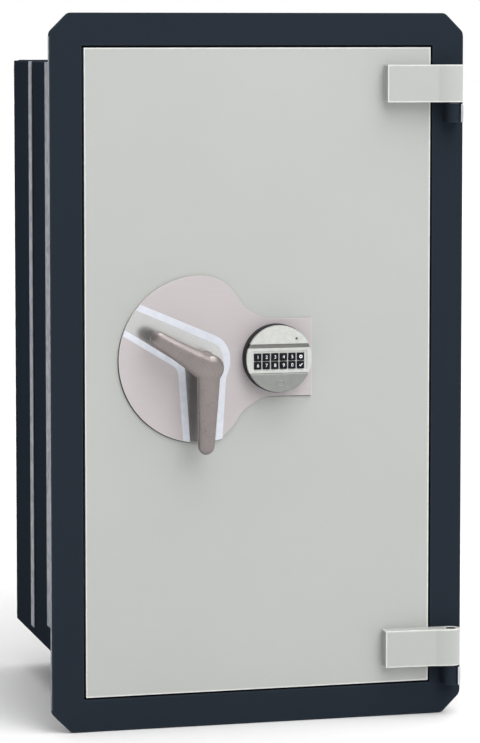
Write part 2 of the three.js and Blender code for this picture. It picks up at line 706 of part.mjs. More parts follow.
function addKeypad() {
  const rim = KEYPAD_FACE_RADIUS + 2;
  const back = -2 * CLEAR - ESCUTCHEON.thick;
  const disc = rodY(KEYPAD_BASE_RADIUS, KEYPAD_BASE_FRONT, back, KEYPAD.x, KEYPAD.z, 2 * ROUND);
  const band = faceSlice(BEZEL.high + CLEAR, BAND_TOP - CLEAR, BAND_FRONT, KEYPAD_BASE_FRONT + 1);
  const { radius, halfLength, y, z } = BATTERY;
  const pocket = block(
    KEYPAD.x - halfLength - CLEAR,
    KEYPAD.x + halfLength + CLEAR,
    KEYPAD_BASE_FRONT - 1,
    y + radius + CLEAR,
    KEYPAD.z + z - radius - CLEAR,
    KEYPAD.z + z + radius + CLEAR,
  );
  add("keypad_base", cut(join(disc, band), pocket), blackPlastic);
  add("battery", rodX(radius, KEYPAD.x - halfLength, KEYPAD.x + halfLength, y, KEYPAD.z + z), galvanised);

  const faceBack = KEYPAD_BASE_FRONT - CLEAR;
  const lampX = KEYPAD.x + LAMP.x;
  const lampZ = KEYPAD.z + LAMP.z;
  const lampHole = rodY(LAMP.radius + CLEAR, KEYPAD_FACE_FRONT - 1, faceBack + 1, lampX, lampZ);
  const cap = faceSlice(BAND_TOP, rim, KEYPAD_FACE_FRONT, faceBack);
  add("keypad_cap", cut(cap, lampHole), silverPlastic);
  const lamp = rodY(LAMP.radius, KEYPAD_FACE_FRONT + 0.4, faceBack, lampX, lampZ, 12);
  add("keypad_lamp", lamp, blackPlastic);
  const cover = faceSlice(-rim, BEZEL.low - CLEAR, KEYPAD_FACE_FRONT, faceBack);
  add("battery_cover", cover, greyPlastic);

  const keys = keyCentres();
  const windows = keys.map(({ x, z }) =>
    squareAt(x, z, KEY_WINDOW / 2, BEZEL_FRONT - 1, faceBack + 1),
  );
  const { halfWidth, low, high, deep } = BEZEL_RECESS;
  const recess = block(
    KEYPAD.x - halfWidth,
    KEYPAD.x + halfWidth,
    BEZEL_FRONT - 1,
    BEZEL_FRONT + deep,
    KEYPAD.z + low,
    KEYPAD.z + high,
  );
  const bezel = faceSlice(BEZEL.low, BEZEL.high, BEZEL_FRONT, faceBack);
  add("keypad_bezel", cut(bezel, recess, ...windows), silverPlastic);
  for (const key of keys) {
    add("key_" + key.name, squareAt(key.x, key.z, KEY_SIZE / 2, KEY_FRONT, KEY_BACK), blackPlastic);
  }
}

addCase();
addAnchorRibs();
addShelf();
addHinge("lower", ARM_CENTRE - ARM_HEIGHT / 2);
addHinge("upper", HEIGHT - ARM_CENTRE - ARM_HEIGHT / 2);
addDoor();
addCasing();
addSideBolts();
addEndBolt("top_bolt", -1, RACK_BODY, HEIGHT - CASING_INSET_END - TIP_SETBACK);
addEndBolt("bottom_bolt", 1, BOTTOM_ROD_WIDTH, CASING_INSET_END + TIP_SETBACK);
addLock();
addDrive();
addHandle();
addKeypad();

export default safe;
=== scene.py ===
"""Wall safe with a two-armed handle and a round electronic keypad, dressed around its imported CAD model.

Metres, in the CAD frame: +X right, +Y into the wall, +Z up. The origin is the centre of the rear panel's
outer face. Lengths that are written in millimetres are multiplied by MM.
"""

import json
import math

import bmesh
import bpy
from mathutils import Matrix, Vector


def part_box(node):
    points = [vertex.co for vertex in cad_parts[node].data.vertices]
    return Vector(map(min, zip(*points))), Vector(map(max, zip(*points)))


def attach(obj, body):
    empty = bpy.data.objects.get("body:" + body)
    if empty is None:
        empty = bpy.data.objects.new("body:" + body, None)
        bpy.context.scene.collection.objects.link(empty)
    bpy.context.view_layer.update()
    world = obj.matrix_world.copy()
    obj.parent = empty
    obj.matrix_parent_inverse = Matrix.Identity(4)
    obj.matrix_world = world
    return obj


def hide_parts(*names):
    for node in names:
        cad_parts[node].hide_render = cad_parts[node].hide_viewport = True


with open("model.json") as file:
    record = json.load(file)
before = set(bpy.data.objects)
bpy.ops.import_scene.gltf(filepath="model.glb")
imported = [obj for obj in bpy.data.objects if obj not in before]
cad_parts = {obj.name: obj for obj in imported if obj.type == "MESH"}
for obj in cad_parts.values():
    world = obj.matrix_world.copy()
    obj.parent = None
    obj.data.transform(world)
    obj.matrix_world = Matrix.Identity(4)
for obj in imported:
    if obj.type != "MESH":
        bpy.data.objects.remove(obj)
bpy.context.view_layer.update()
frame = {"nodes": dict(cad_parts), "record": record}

MM = 0.001
TINY = 1e-7  # points closer than this are one point
NODE_SLOTS = {part["node"]: part["material_slot"] for part in frame["record"]["subparts"]}
TURN = 2 * math.pi

# Reference faces and centres, read from the CAD nodes
DOOR_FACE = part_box("door_plate")[0].y
PLATE_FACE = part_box("escutcheon_plate")[0].y
FLANGE_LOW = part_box("door_frame")[0].z


def centre(node):
    low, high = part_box(node)
    return (low + high) / 2


HUB = centre("spindle_bush")
KEYPAD = centre("keypad_base")


# ---- materials ----

RANGE_SOCKETS = ("From Min", "From Max", "To Min", "To Max")
MIX_SOCKETS = {"factor": 0, "a": 6, "b": 7}  # a Mix node's inputs when it mixes colours
MIX_RESULT = 2


class Surface:
    """A Principled material whose colour, roughness and relief come from procedural nodes."""

    def __init__(self, name, **settings):
        self.material = bpy.data.materials.new(name)
        self.material.use_nodes = True
        self.tree = self.material.node_tree
        self.tree.nodes.clear()
        self.shader = self.node("ShaderNodeBsdfPrincipled")
        output = self.node("ShaderNodeOutputMaterial")
        self.tree.links.new(self.shader.outputs["BSDF"], output.inputs["Surface"])
        for socket, value in settings.items():
            self.shader.inputs[socket.replace("_", " ")].default_value = value
        self.place = self.node("ShaderNodeTexCoord").outputs["Object"]

    def node(self, kind, **settings):
        made = self.tree.nodes.new(kind)
        for name, value in settings.items():
            setattr(made, name, value)
        return made

    def feed(self, socket, value):
        if isinstance(value, bpy.types.NodeSocket):
            self.tree.links.new(value, socket)
        else:
            socket.default_value = value

    def stretched(self, scale):
        """The object's own coordinates, scaled by a different amount along each axis."""
        mapping = self.node("ShaderNodeMapping")
        self.feed(mapping.inputs["Vector"], self.place)
        mapping.inputs["Scale"].default_value = scale
        return mapping.outputs["Vector"]

    def noise(self, scale, detail=2.0, place=None):
        made = self.node("ShaderNodeTexNoise")
        self.feed(made.inputs["Vector"], place or self.place)
        made.inputs["Scale"].default_value = scale
        made.inputs["Detail"].default_value = detail
        return made.outputs["Fac"]

    def cells(self, scale):
        """Crystal-shaped cells, each of its own random colour."""
        made = self.node("ShaderNodeTexVoronoi", feature="F1")
        self.feed(made.inputs["Vector"], self.place)
        made.inputs["Scale"].default_value = scale
        return made.outputs["Color"]

    def spread(self, value, low, high, start=0.3, end=0.7):
        """The values from start to end, spread over low to high."""
        made = self.node("ShaderNodeMapRange")
        self.feed(made.inputs["Value"], value)
        for socket, number in zip(RANGE_SOCKETS, (start, end, low, high)):
            made.inputs[socket].default_value = number
        return made.outputs["Result"]

    def sums(self, operation, a, b):
        made = self.node("ShaderNodeMath", operation=operation)
        self.feed(made.inputs[0], a)
        self.feed(made.inputs[1], b)
        return made.outputs[0]

    def mixed(self, factor, a, b):
        """Colour a where factor is 0 and colour b where it is 1."""
        made = self.node("ShaderNodeMix", data_type="RGBA")
        for index, value in zip(MIX_SOCKETS.values(), (factor, a, b)):
            if isinstance(value, tuple):
                value = (*value, 1.0)
            self.feed(made.inputs[index], value)
        return made.outputs[MIX_RESULT]

    def edges(self, radius):
        """0 on flat surfaces, rising to 1 where the surface turns within the radius."""
        rounded = self.node("ShaderNodeBevel", samples=4)
        rounded.inputs["Radius"].default_value = radius
        flat = self.node("ShaderNodeNewGeometry")
        dot = self.node("ShaderNodeVectorMath", operation="DOT_PRODUCT")
        self.feed(dot.inputs[0], rounded.outputs["Normal"])
        self.feed(dot.inputs[1], flat.outputs["Normal"])
        return self.spread(dot.outputs["Value"], 1.0, 0.0, 0.88, 0.995)

    def colour(self, value):
        self.feed(self.shader.inputs["Base Color"], value)

    def roughness(self, value):
        self.feed(self.shader.inputs["Roughness"], value)

    def relief(self, height, depth):
        """Bumps of that depth, in metres."""
        bump = self.node("ShaderNodeBump")
        self.feed(bump.inputs["Height"], height)
        bump.inputs["Distance"].default_value = depth
        bump.inputs["Strength"].default_value = 1.0
        self.feed(self.shader.inputs["Normal"], bump.outputs["Normal"])


def tinted(colour, factor):
    return tuple(min(1.0, channel * factor) for channel in colour)


def powder_coat(name, colour, edge_highlight_colour, edge_highlight_share, roughness, shine=0.5):
    """Sprayed and baked paint: orange peel, faint cloudiness, and a painted highlight that lightens its
    edges.
    """
    paint = Surface(name, Specular_IOR_Level=shine)
    cloud = paint.spread(paint.noise(5.0, 2.0), 0.0, 1.0)
    body = paint.mixed(cloud, tinted(colour, 0.985), tinted(colour, 1.015))
    fleck = paint.spread(paint.noise(1800.0, 1.0), 0.0, 0.35, 0.62, 0.74)
    body = paint.mixed(fleck, body, tinted(colour, 1.1))
    # Painted highlight: the rounded edges are lightened towards the edge colour, in patches.
    edge_wear_and_highlight = paint.sums("MULTIPLY", paint.edges(0.003), edge_highlight_share)
    edge_wear_and_highlight = paint.sums("MULTIPLY", edge_wear_and_highlight, paint.spread(paint.noise(60.0, 4.0), 0.55, 1.0))
    paint.colour(paint.mixed(edge_wear_and_highlight, body, edge_highlight_colour))
    paint.roughness(paint.spread(paint.noise(35.0, 4.0), roughness - 0.04, roughness + 0.04))
    fine_peel = paint.sums("MULTIPLY", paint.noise(1500.0, 1.0), 0.35)
    paint.relief(paint.sums("ADD", paint.noise(520.0, 2.0), fine_peel), 0.00005)
    return paint.material


def metal(name, colour, roughness, metallic=1.0, grain=(1.0, 1.0, 1.0), grain_scale=900.0, depth=0.00002):
    """Bare or plated metal with a machined or brushed grain, faint stains and burnished edges."""
    bare = Surface(name, Metallic=metallic)
    stain = bare.spread(bare.noise(30.0, 4.0), 0.0, 1.0)
    body = bare.mixed(stain, tinted(colour, 0.9), tinted(colour, 1.06))
    edge_wear_and_highlight = bare.sums("MULTIPLY", bare.edges(0.0008), 0.35)
    bare.colour(bare.mixed(edge_wear_and_highlight, body, tinted(colour, 1.45)))
    lines = bare.noise(grain_scale, 3.0, bare.stretched(grain))
    smear = bare.spread(bare.noise(70.0, 3.0), -0.05, 0.05)
    bare.roughness(bare.sums("ADD", bare.spread(lines, roughness - 0.06, roughness + 0.06), smear))
    bare.relief(lines, depth)
    return bare.material


def galvanised_sheet(name, colour, roughness):
    """Zinc-coated sheet with a spangle of 8 mm crystals and a dull bloom."""
    zinc = Surface(name, Metallic=0.75)
    crystal = zinc.node("ShaderNodeSeparateColor")
    zinc.feed(crystal.inputs["Color"], zinc.cells(120.0))
    tone = zinc.spread(crystal.outputs["Red"], 0.0, 1.0, 0.0, 1.0)
    body = zinc.mixed(tone, tinted(colour, 0.86), tinted(colour, 1.14))
    bloom = zinc.spread(zinc.noise(22.0, 5.0), 0.0, 0.45, 0.45, 0.75)
    zinc.colour(zinc.mixed(bloom, body, tinted(colour, 1.3)))
    zinc.roughness(zinc.spread(crystal.outputs["Green"], roughness - 0.08, roughness + 0.1, 0.0, 1.0))
    zinc.relief(zinc.noise(400.0, 3.0), 0.00003)
    return zinc.material


def moulded(name, colour, roughness, grain_scale=2200.0, depth=0.00002, edge_factor=1.3, **settings):
    """Moulded plastic or rubber with a spark-eroded texture, slight mottling and polished edges."""
    plastic = Surface(name, **settings)
    mottle = plastic.spread(plastic.noise(140.0, 3.0), 0.0, 1.0)
    body = plastic.mixed(mottle, tinted(colour, 0.94), tinted(colour, 1.06))
    edge_wear_and_highlight = plastic.sums("MULTIPLY", plastic.edges(0.0005), 0.5)
    plastic.colour(plastic.mixed(edge_wear_and_highlight, body, tinted(colour, edge_factor)))
    grain = plastic.noise(grain_scale, 2.0)
    plastic.roughness(plastic.spread(grain, roughness - 0.06, roughness + 0.06))
    plastic.relief(grain, depth)
    return plastic.material


def printed_plate(name, colour):
    """Aluminium sheet, brushed along its length and printed with a thin satin lacquer."""
    sheet = Surface(name, Coat_Weight=0.1, Coat_Roughness=0.3)
    lines = sheet.noise(900.0, 3.0, sheet.stretched((0.03, 1.0, 1.0)))
    body = sheet.mixed(sheet.spread(lines, 0.0, 1.0), tinted(colour, 0.97), tinted(colour, 1.03))
    cloud = sheet.spread(sheet.noise(14.0, 3.0), 0.0, 0.5)
    body = sheet.mixed(cloud, body, tinted(colour, 1.03))
    # Painted highlight: the plate's edges are lightened to a pale rim.
    edge_wear_and_highlight = sheet.sums("MULTIPLY", sheet.edges(0.001), 0.4)
    sheet.colour(sheet.mixed(edge_wear_and_highlight, body, (0.75, 0.75, 0.74)))
    sheet.roughness(sheet.spread(lines, 0.4, 0.5))
    sheet.relief(lines, 0.00001)
    return sheet.material


def bare_satin(name, colour):
    """Etched bare aluminium with a blurred reflection."""
    bare = Surface(name, Metallic=0.95)
    cloud = bare.spread(bare.noise(40.0, 2.0), 0.0, 1.0)
    bare.colour(bare.mixed(cloud, tinted(colour, 0.97), tinted(colour, 1.03)))
    bare.roughness(bare.spread(bare.noise(12.0, 1.0), 0.23, 0.25))
    return bare.material


LIGHT_GREY = (0.357, 0.367, 0.351)
# The edge colours here are painted highlights that the paints' rounded edges are lightened towards.
LIGHT_EDGE_HIGHLIGHT = (0.92, 0.92, 0.88)
DARK_BLUE_GREY = (0.0158, 0.0212, 0.0288)
DARK_EDGE_HIGHLIGHT = (0.04, 0.048, 0.058)
FINISHES = {
    "dark_paint": powder_coat("anthracite_powder_coat", DARK_BLUE_GREY, DARK_EDGE_HIGHLIGHT, 0.5, 0.7, 0.0),
    "light_paint": powder_coat("light_grey_powder_coat", LIGHT_GREY, LIGHT_EDGE_HIGHLIGHT, 0.9, 0.42),
    "galvanised": galvanised_sheet("galvanised_steel", (0.168, 0.184, 0.212), 0.45),
    "bright_steel": metal("ground_steel", (0.5, 0.51, 0.53), 0.27, grain=(1.0, 1.0, 0.08)),
    "bronze": metal("bearing_bronze", (0.46, 0.29, 0.11), 0.34),
    "satin_nickel": metal("satin_nickel", (0.212, 0.187, 0.179), 0.32, 0.6, grain_scale=1600.0),
    "escutcheon": printed_plate("printed_plate", (0.397, 0.363, 0.371)),
    "silver_plastic": moulded(
        "silver_lacquer",
        (0.47, 0.478, 0.457),
        0.32,
        grain_scale=3200.0,
        depth=0.000008,
        Metallic=0.3,
        Coat_Weight=0.2,
    ),
    "grey_plastic": moulded("satin_grey_lacquer", (0.205, 0.212, 0.2), 0.38, Metallic=0.3),
    "black_plastic": moulded(
        "black_plastic", (0.005, 0.0055, 0.009), 0.45, edge_factor=2.5, Specular_IOR_Level=0.12
    ),
    "seal": moulded("black_seal", (0.017, 0.016, 0.015), 0.7, grain_scale=900.0, depth=0.00008),
}
WHITE_PRINT = moulded("white_print", (0.53, 0.55, 0.6), 0.45, depth=0.000006, edge_factor=1.05)
BARE_SATIN = bare_satin("bare_satin_aluminium", (0.5, 0.5, 0.495))
BAND_INLAY = moulded("inlay_lacquer", (0.16, 0.16, 0.15), 0.35, depth=0.000006, Metallic=0.2)
WHITE_LEGEND = moulded("key_legend", (0.75, 0.76, 0.8), 0.5, edge_factor=1.0)
LAMP_LENS = moulded("lamp_lens", (0.02, 0.008, 0.008), 0.12, depth=0.000004, Coat_Weight=0.8)


# ---- mesh tools ----

EDGE_ANGLE = 32.0  # degrees between two faces, from which their edge is rounded


def new_piece(name, bm, body, slot, material=None, smooth=True):
    """A mesh object that rides on a body and takes its finish from a slot."""
    bmesh.ops.recalc_face_normals(bm, faces=bm.faces)
    mesh = bpy.data.meshes.new(name)
    bm.to_mesh(mesh)
    bm.free()
    mesh.polygons.foreach_set("use_smooth", [smooth] * len(mesh.polygons))
    piece = bpy.data.objects.new(name, mesh)
    bpy.context.scene.collection.objects.link(piece)
    mesh.materials.append(material or FINISHES[slot])
    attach(piece, body)
    return piece


def soften(piece, width, segments=3):
    """Rounds the piece's edges and evens its shading."""
    bevel = piece.modifiers.new("rounded_edges", "BEVEL")
    bevel.width = width
    bevel.segments = segments
    bevel.limit_method = "ANGLE"
    bevel.angle_limit = math.radians(EDGE_ANGLE)
    bevel.harden_normals = True
    normals = piece.modifiers.new("even_shading", "WEIGHTED_NORMAL")
    normals.keep_sharp = True


def loft(bm, rings, closed_ends=True):
    """Skins a row of rings, each a list of as many points, and closes its two ends."""
    rows = [[bm.verts.new(point) for point in ring] for ring in rings]
    for a, b in zip(rows, rows[1:]):
        for i in range(len(a)):
            j = (i + 1) % len(a)
            bm.faces.new((a[i], a[j], b[j], b[i]))
    if closed_ends:
        bm.faces.new(rows[0][::-1])
        bm.faces.new(rows[-1])
    return bm


def slab(bm, outline, y_back, y_front):
    """A closed outline in x and z, in metres, made solid between two depths."""
    loft(bm, [[(x, y, z) for x, z in outline] for y in (y_back, y_front)])
    return bm


def circle(radius, x=0.0, z=0.0, count=64):
    angles = [TURN * i / count for i in range(count)]
    return [(x + radius * math.cos(angle), z + radius * math.sin(angle)) for angle in angles]


def closed_ring(rings):
    """A ring-shaped solid whose section runs through the rings and back to the first one."""
    bm = loft(bmesh.new(), rings + rings[:1], closed_ends=False)
    bmesh.ops.remove_doubles(bm, verts=bm.verts, dist=TINY)
    return bm


def filleted(corners, steps=10):
    """A path through (x, z, radius) corners, each rounded by its radius."""
    path = [corners[0][:2]]
    for before, corner, after in zip(corners, corners[1:], corners[2:]):
        here = Vector(corner[:2])
        back = (Vector(before[:2]) - here).normalized()
        on = (Vector(after[:2]) - here).normalized()
        half = back.angle(on) / 2
        middle = here + (back + on).normalized() * (corner[2] / math.sin(half))
        start = here + back * (corner[2] / math.tan(half)) - middle
        end = here + on * (corner[2] / math.tan(half)) - middle
        sweep = start.angle_signed(end)
        for step in range(steps + 1):
            turn = Matrix.Rotation(-sweep * step / steps, 2)
            path.append(tuple(middle + turn @ start))
    path.append(corners[-1][:2])
    return path


def clipped(outline, boundary):
    """The part of an outline that lies inside a convex boundary, which runs counter-clockwise."""
    kept = [Vector(point) for point in outline]
    for i, corner in enumerate(boundary):
        a, b = Vector(corner), Vector(boundary[(i + 1) % len(boundary)])
        normal = Vector((a.y - b.y, b.x - a.x))
        inside = [(point - a).dot(normal) for point in kept]
        result = []
        for k, point in enumerate(kept):
            following = kept[(k + 1) % len(kept)]
            here, there = inside[k], inside[(k + 1) % len(kept)]
            if here >= 0:
                result.append(point)
            if here * there < 0:
                result.append(point.lerp(following, here / (here - there)))
        kept = result
    return kept


# ---- CAD nodes that stay ----

EDGE_RADIUS = {
    "door_frame": 0.7,
    "door_plate": 1.6,
    "left_wall": 1.2,
    "right_wall": 1.2,
    "roof_panel": 1.2,
    "floor_panel": 1.2,
    "rear_panel": 1.2,
    "hinge_arm_lower": 1.5,
    "hinge_arm_upper": 1.5,
    "hinge_lug_lower": 0.8,
    "hinge_lug_upper": 0.8,
    "rebate_seal": 1.4,
    "bolt_casing": 0.8,
    "casing_cover": 0.7,
    "lock_case": 1.2,
    "escutcheon_plate": 0.8,
    "keypad_base": 1.4,
    "keypad_cap": 0.9,
    "battery_cover": 0.9,
    "keypad_bezel": 0.25,
    "keypad_lamp": 0.3,
    "drive_pinion": 0.25,
    "shelf": 0.6,
}
DEFAULT_EDGE = 0.5

for name, cad_node in frame["nodes"].items():
    mesh = cad_node.data
    mesh.materials.clear()
    mesh.materials.append(FINISHES[NODE_SLOTS[name]])
    mesh.polygons.foreach_set("use_smooth", [True] * len(mesh.polygons))
    for attribute in ("custom_normal", "sharp_edge", "sharp_face"):
        if attribute in mesh.attributes:
            mesh.attributes.remove(mesh.attributes[attribute])
    weld = cad_node.modifiers.new("weld", "WELD")
    weld.merge_threshold = 0.01 * MM
    flat = cad_node.modifiers.new("flat_faces", "DECIMATE")
    flat.decimate_type = "DISSOLVE"
    flat.angle_limit = math.radians(0.4)
    soften(cad_node, EDGE_RADIUS.get(name, DEFAULT_EDGE) * MM)


# ---- handle ----

# Stations of each arm in millimetres: distance along it, half width, half thickness, and how far its
# middle stands out from the door.
DOWN_ARM = (
    (0, 12.6, 8.0, 37.4),
    (19, 12.5, 8.0, 37.4),
    (39, 11.6, 7.8, 37.2),
    (58, 10.6, 7.5, 36.6),
    (76, 9.8, 7.1, 35.6),
    (90, 9.4, 6.8, 34.6),
    (95.5, 9.0, 6.5, 34.2),
    (99.5, 7.2, 5.3, 34.0),
    (102, 4.4, 3.3, 33.9),
    (103.2, 1.5, 1.2, 33.9),
)
SIDE_ARM = (
    (-6, 14.2, 8.6, 38.4),
    (2, 14.6, 8.9, 38.4),
    (12, 13.6, 8.8, 38.4),
    (22, 12.2, 8.5, 38.2),
    (41, 10.4, 8.0, 37.6),
    (56, 9.5, 7.5, 36.8),
    (62, 9.2, 7.2, 36.4),
    (65.8, 8.2, 6.4, 36.1),
    (68.4, 6.2, 5.0, 35.9),
    (70.0, 3.8, 3.1, 35.8),
    (70.7, 1.4, 1.2, 35.8),
)
# Where each arm's axis starts, from the spindle, and its bearing in degrees, seen from the front.
DOWN_START, DOWN_BEARING = (0.75, 0.0), -91.4
SIDE_START, SIDE_BEARING = (-3.2, -5.3), 148.9
KNUCKLE = (2.0, -6.4)
# The knuckle and the neck behind it, as radius and distance out from the door.
KNUCKLE_PROFILE = (
    (11.4, 24.0),
    (13.8, 27.5),
    (15.1, 32.0),
    (15.5, 37.0),
    (15.3, 41.0),
    (14.0, 44.0),
    (11.6, 45.9),
    (8.0, 46.8),
    (3.0, 47.1),
)
NECK_PROFILE = ((11.6, 4.8), (11.6, 12.0), (12.0, 24.0), (10.0, 30.0))
SECTION_POINTS = 40
SECTION_POWER = 3.0


def arm_rings(stations, degrees, start=(0.0, 0.0)):
    """Rounded cross-sections along an arm that points at that angle, seen from the front."""
    along = Vector((math.cos(math.radians(degrees)), math.sin(math.radians(degrees))))
    across = Vector((-along.y, along.x))
    rings = []
    for distance, half_width, half_thick, out in stations:
        ring = []
        for i in range(SECTION_POINTS):
            angle = TURN * i / SECTION_POINTS
            c, s = math.cos(angle), math.sin(angle)
            wide = math.copysign(abs(c) ** (2 / SECTION_POWER), c) * half_width
            deep = math.copysign(abs(s) ** (2 / SECTION_POWER), s) * half_thick
            flat = Vector(start) + along * distance + across * wide
            ring.append((HUB.x + flat.x * MM, DOOR_FACE - (out + deep) * MM, HUB.z + flat.y * MM))
        rings.append(ring)
    return rings


def turned_rings(profile, middle, count=48):
    """Rings around the y axis through `middle`, from (radius, distance towards the front) pairs."""
    rings = []
    for radius, distance in profile:
        ring = circle(radius, middle.x, middle.z, count)
        rings.append([(x, middle.y - distance, z) for x, z in ring])
    return rings


def make_handle():
    bm = bmesh.new()
    loft(bm, arm_rings(DOWN_ARM, DOWN_BEARING, DOWN_START))
    loft(bm, arm_rings(SIDE_ARM, SIDE_BEARING, SIDE_START))
    for profile, (x, z) in ((KNUCKLE_PROFILE, KNUCKLE), (NECK_PROFILE, (0.0, 0.0))):
        middle = Vector((HUB.x + x * MM, DOOR_FACE, HUB.z + z * MM))
        loft(bm, turned_rings([(radius * MM, out * MM) for radius, out in profile], middle))
    handle = new_piece("handle_casting", bm, "handle_set", "satin_nickel")
    cast = handle.modifiers.new("one_casting", "REMESH")
    cast.mode = "VOXEL"
    cast.voxel_size = 0.7 * MM
    cast.use_smooth_shade = True
    even = handle.modifiers.new("soft_joins", "SMOOTH")
    even.factor = 0.5
    even.iterations = 6
    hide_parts("handle")


make_handle()


# ---- printed bands on the escutcheon plate ----

# Edges of the bands in millimetres from the hub: x, z and the radius of the corner.
BAND_EDGES = {
    "outer": ((-86.5, 70.1, 0), (34.3, 18.7, 29), (33.8, -7.5, 8), (28.9, -22.5, 8), (24.4, -99, 0)),
    "outer_inside": ((-89.5, 63.5, 0), (26.0, 12.6, 21), (26.2, -12, 8), (22.5, -24, 8), (16.8, -99, 0)),
    "inner_inside": ((-93.5, 39.2, 0), (-18.3, -7.9, 9), (-12.0, -99, 0)),
    "inner": ((-96.5, 32.7, 0), (-26.3, -9.9, 13), (-19.7, -99, 0)),
}
PRINT_MARGIN = 0.5
DISC_RADIUS = 93.5
PRINT_THICK = 0.06


def make_band(name, edge, other_edge, material, thick):
    path = filleted(BAND_EDGES[edge]) + filleted(BAND_EDGES[other_edge])[::-1]
    boundary = circle(DISC_RADIUS - PRINT_MARGIN, count=160)
    outline = [(HUB.x + p.x * MM, HUB.z + p.y * MM) for p in clipped(path, boundary)]
    bm = bmesh.new()
    slab(bm, outline, PLATE_FACE + 0.2 * MM, PLATE_FACE - thick * MM)
    new_piece(name, bm, "door", "escutcheon", material, smooth=False)


make_band("band_outer", "outer", "outer_inside", WHITE_PRINT, PRINT_THICK)
make_band("band_inner", "inner_inside", "inner", WHITE_PRINT, PRINT_THICK)
make_band("band_channel", "outer_inside", "inner_inside", BARE_SATIN, PRINT_THICK / 2)


def make_painted_shadow_line():
    """A dark sheet behind the plate, moved down and to the left, that paints the shadow line along the
    plate's lower left edge.
    """
    bm = bmesh.new()
    bm.from_mesh(frame["nodes"]["escutcheon_plate"].data)
    bmesh.ops.remove_doubles(bm, verts=bm.verts, dist=0.01 * MM)
    for vert in bm.verts:
        vert.co.x -= 0.55 * MM
        vert.co.z -= 0.8 * MM
        vert.co.y = DOOR_FACE - (1.3 * MM if vert.co.y < (DOOR_FACE + PLATE_FACE) / 2 else 0.1 * MM)
    new_piece("escutcheon_shadow_line", bm, "door", "seal", smooth=False)


make_painted_shadow_line()


# ---- keypad details ----

# Millimetres: heights and places about the keypad's centre, setbacks from its front face.
INLAY_TOP = 17.0
INLAY_MARGIN = 0.2
INLAY_REACH = 37.2  # radius of the circle that the inlay's ends lie on
BAND_SETBACK = 2.5
EMBLEM = (1.2, -27.5)
EMBLEM_HALF = (4.6, 3.2)
# The emblem ring's section: how far it swells past the oval, and how far it stands out.
EMBLEM_SECTION = ((0.6, -0.1), (0.5, 0.15), (0.1, 0.35), (-0.3, 0.35), (-0.7, 0.15), (-0.8, -0.1))
# The lens, as radius and height above the lamp's own front.
LENS_CROWN = ((1.1, 0.0), (0.95, 0.25), (0.55, 0.45), (0.15, 0.5))


def make_legend(key, symbol):
    """A white mark on a key: a digit, a ring or a tick."""
    low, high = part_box("key_" + key)
    x, z = (low.x + high.x) / 2, (low.z + high.z) / 2
    sunk, raised = low.y + 0.1 * MM, low.y - 0.05 * MM
    if symbol == "ring":
        section = ((1.9, sunk), (1.9, raised), (0.9, raised), (0.9, sunk))
        bm = closed_ring([[(px, y, pz) for px, pz in circle(r * MM, x, z, 32)] for r, y in section])
    elif symbol == "tick":
        points = ((-2.0, -0.2), (-0.7, -1.7), (2.1, 1.3), (1.5, 1.9), (-0.7, -0.5), (-1.4, 0.4))
        bm = slab(bmesh.new(), [(x + px * MM, z + pz * MM) for px, pz in points], sunk, raised)
    else:
        curve = bpy.data.curves.new("digit", "FONT")
        curve.body = symbol
        curve.size = 5.4 * MM
        curve.extrude = 0.075 * MM
        curve.align_x = "CENTER"
        curve.align_y = "CENTER"
        digit = bpy.data.objects.new("digit", curve)
        bpy.context.scene.collection.objects.link(digit)
        bpy.context.view_layer.update()
        finished = digit.evaluated_get(bpy.context.evaluated_depsgraph_get())
        shape = bpy.data.meshes.new_from_object(finished)
        bpy.data.objects.remove(digit)
        upright = Matrix.Rotation(math.pi / 2, 4, "X")
        shape.transform(Matrix.Translation((x, (sunk + raised) / 2, z)) @ upright)
        bm = bmesh.new()
        bm.from_mesh(shape)
        bpy.data.meshes.remove(shape)
    new_piece("legend_" + key, bm, "key_" + key + "_set", "black_plastic", WHITE_LEGEND, smooth=False)


for key in "1234567890":
    make_legend(key, key)
make_legend("enter", "ring")
make_legend("clear", "tick")


def make_inlay():
    """A lacquered strip on the band between the cap and the key frame."""
    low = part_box("keypad_bezel")[1].z
    high = KEYPAD.z + INLAY_TOP * MM
    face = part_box("battery_cover")[0].y + BAND_SETBACK * MM
    reach = INLAY_REACH * MM
    outline = []
    for side, heights in ((1, (low, high)), (-1, (high, low))):
        for z in (heights[0] + side * INLAY_MARGIN * MM, heights[1] - side * INLAY_MARGIN * MM):
            outline.append((KEYPAD.x + side * math.sqrt(reach**2 - (z - KEYPAD.z) ** 2), z))
    bm = slab(bmesh.new(), outline, face + 0.2 * MM, face - 0.12 * MM)
    soften(new_piece("band_inlay", bm, "door", "grey_plastic", BAND_INLAY), 0.06 * MM, 2)


def make_emblem():
    """A plain raised oval ring on the battery cover."""
    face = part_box("battery_cover")[0].y
    x, z = KEYPAD.x + EMBLEM[0] * MM, KEYPAD.z + EMBLEM[1] * MM
    rings = []
    for swell, out in EMBLEM_SECTION:
        wide, tall = (half + swell for half in EMBLEM_HALF)
        y = face - out * MM
        rings.append([(x + wide * px, y, z + tall * pz) for px, pz in circle(MM, count=40)])
    new_piece("cover_emblem", closed_ring(rings), "battery_cover_set", "grey_plastic")


def make_lamp_lens():
    low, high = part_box("keypad_lamp")
    middle = Vector(((low.x + high.x) / 2, high.y, (low.z + high.z) / 2))
    depth = high.y - low.y
    profile = [(LENS_CROWN[0][0] * MM, 0.0)]
    profile += [(radius * MM, depth + rise * MM) for radius, rise in LENS_CROWN]
    bm = loft(bmesh.new(), turned_rings(profile, middle, 24))
    lens = new_piece("lamp_lens", bm, "door", "black_plastic", LAMP_LENS)
    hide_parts("keypad_lamp")


make_inlay()
make_emblem()
make_lamp_lens()


# ---- screws, bolt guides and welds ----


SCREW_RADIUS = 4.0


